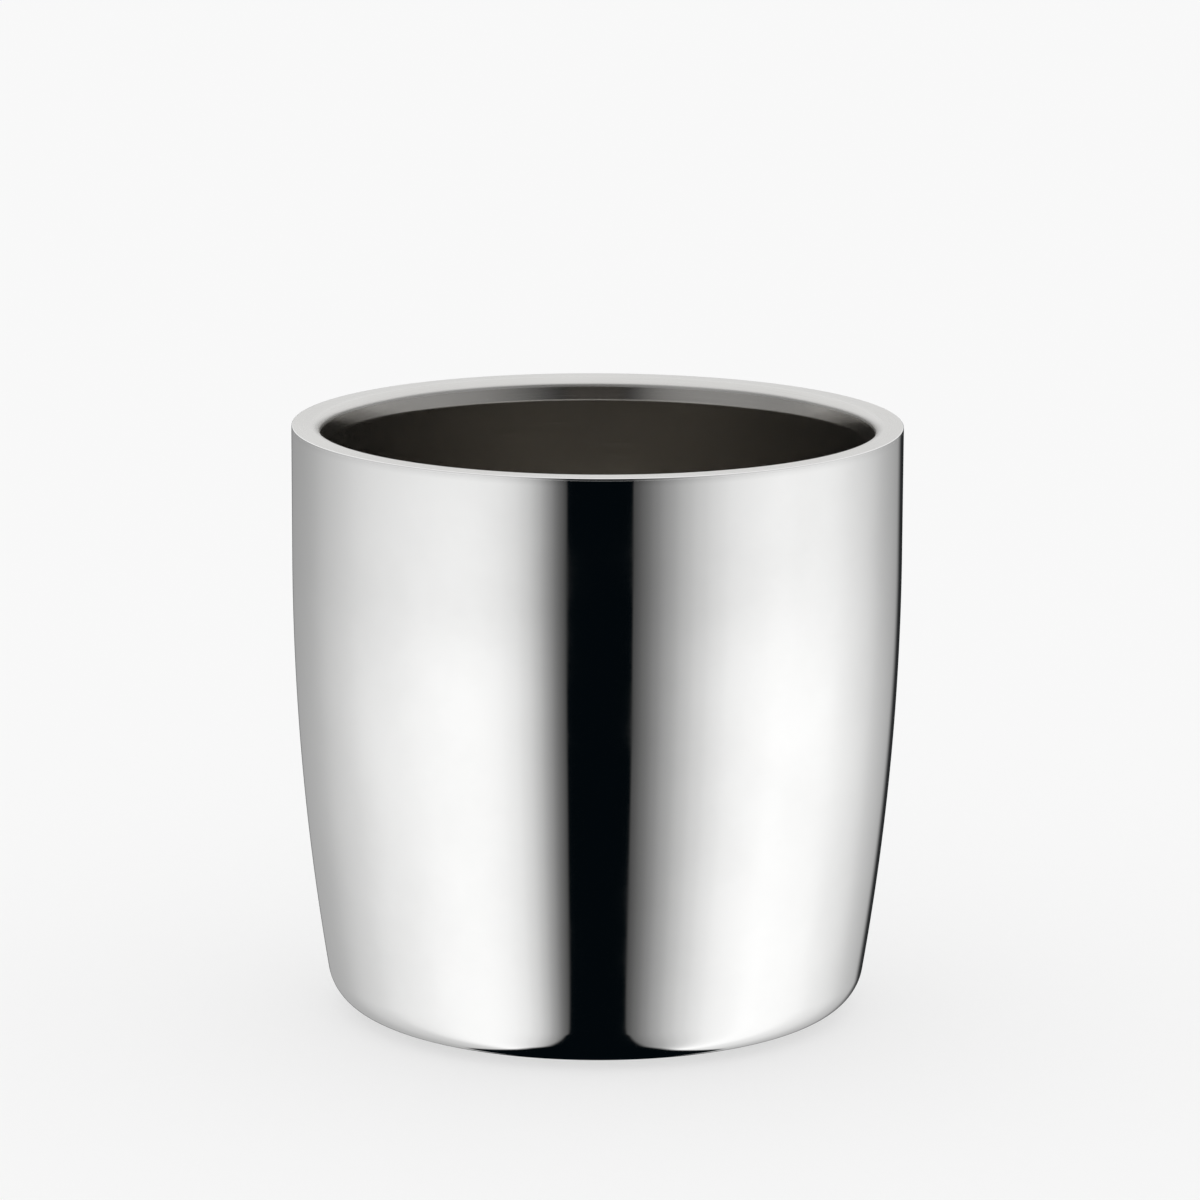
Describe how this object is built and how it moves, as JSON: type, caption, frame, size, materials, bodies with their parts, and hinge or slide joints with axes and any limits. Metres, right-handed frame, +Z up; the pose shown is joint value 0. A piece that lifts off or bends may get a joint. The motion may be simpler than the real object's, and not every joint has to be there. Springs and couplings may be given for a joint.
{
  "type": "champagne cooler",
  "caption": "Double-walled stainless steel champagne cooler: polished barrel body, broad flat satin rim, open satin well for ice and upright bottles.",
  "frame": {"origin": "centre of the footprint, on the surface that the cooler stands on", "axes": "+Z up along the axis of revolution, from the anti-slip ring to the rim; the cooler is the same all round, so X and Y are free"},
  "size_m": [0.23, 0.23, 0.224],
  "materials": {
    "polished_steel": "polished",
    "satin_steel": "satin",
    "plate_steel": "matte",
    "silicone": "matte",
    "foam": "matte"
  },
  "bodies": {
    "root": {"outer_shell": "polished_steel", "inner_liner": "satin_steel", "base_plate": "plate_steel", "vent_plug": "silicone", "floor_pad": "foam", "anti_slip_ring": "silicone"}
  },
  "joints": []
}
